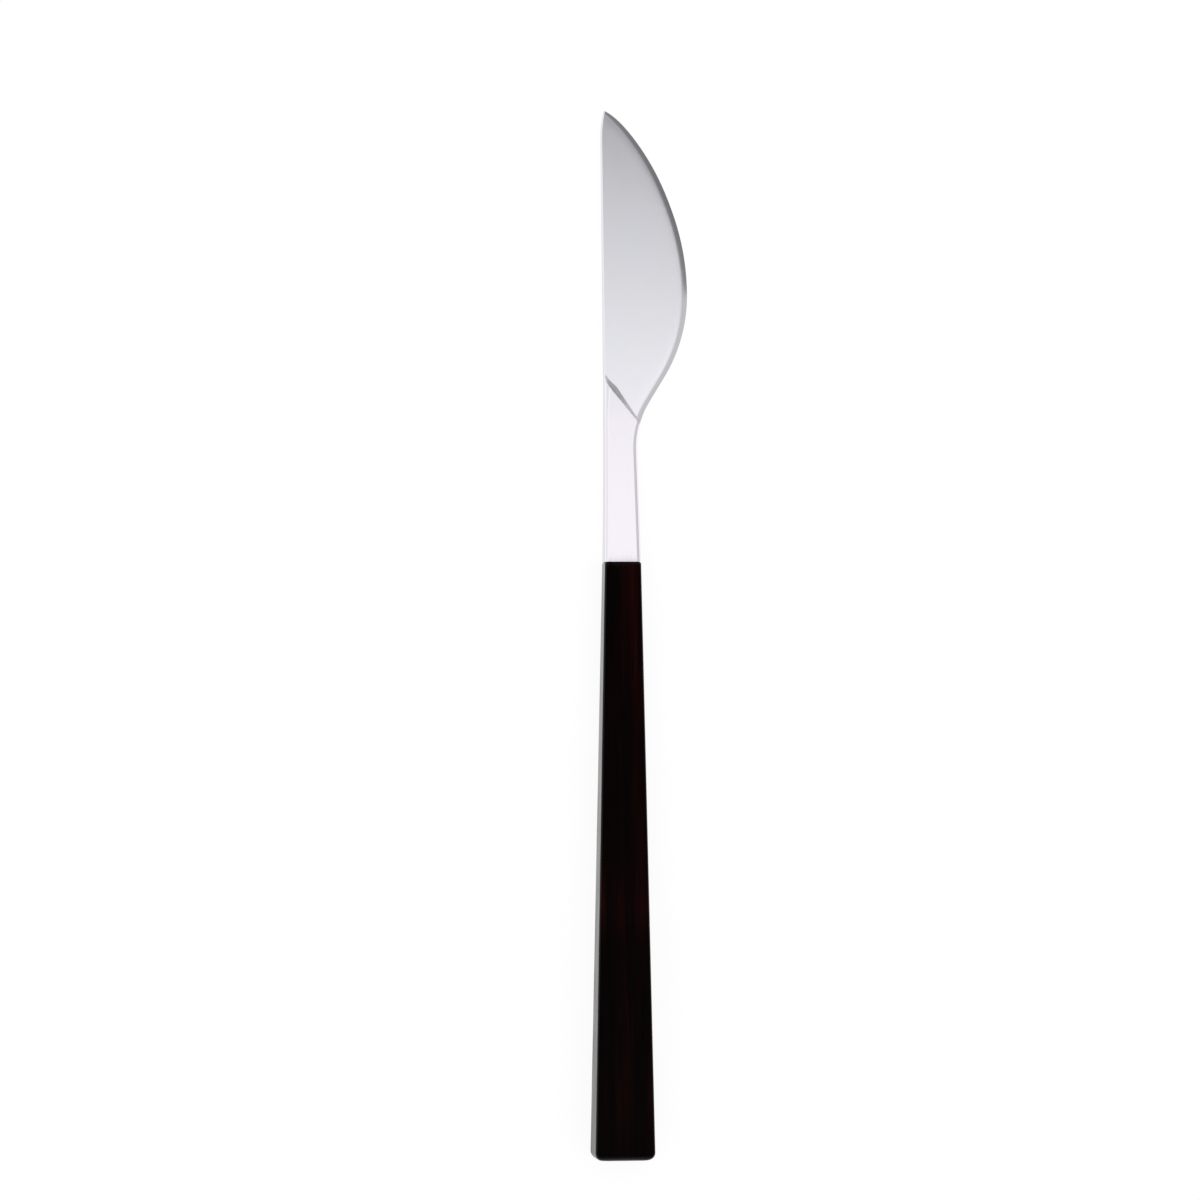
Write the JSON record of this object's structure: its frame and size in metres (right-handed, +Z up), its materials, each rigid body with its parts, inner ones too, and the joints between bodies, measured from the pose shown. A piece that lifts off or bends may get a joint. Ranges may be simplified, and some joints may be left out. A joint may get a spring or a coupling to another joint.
{
  "type": "dinner knife",
  "caption": "Dinner knife with a short broad steel blade, a round belly, an S-curved heel and a slim flat neck, on a long tapered square handle of dark rosewood.",
  "frame": {"origin": "on the table, under the middle of the knife's box", "axes": "+Y along the knife from the butt to the tip, +X towards the cutting edge, +Z up, square to the flat underside of the handle and neck"},
  "size_m": [0.0198, 0.215, 0.0092],
  "materials": {
    "steel": "satin",
    "rosewood": "oiled and polished",
    "cement": "matt"
  },
  "bodies": {
    "root": {"blade": "steel", "handle": "rosewood", "tang_cement": "cement"}
  },
  "joints": []
}
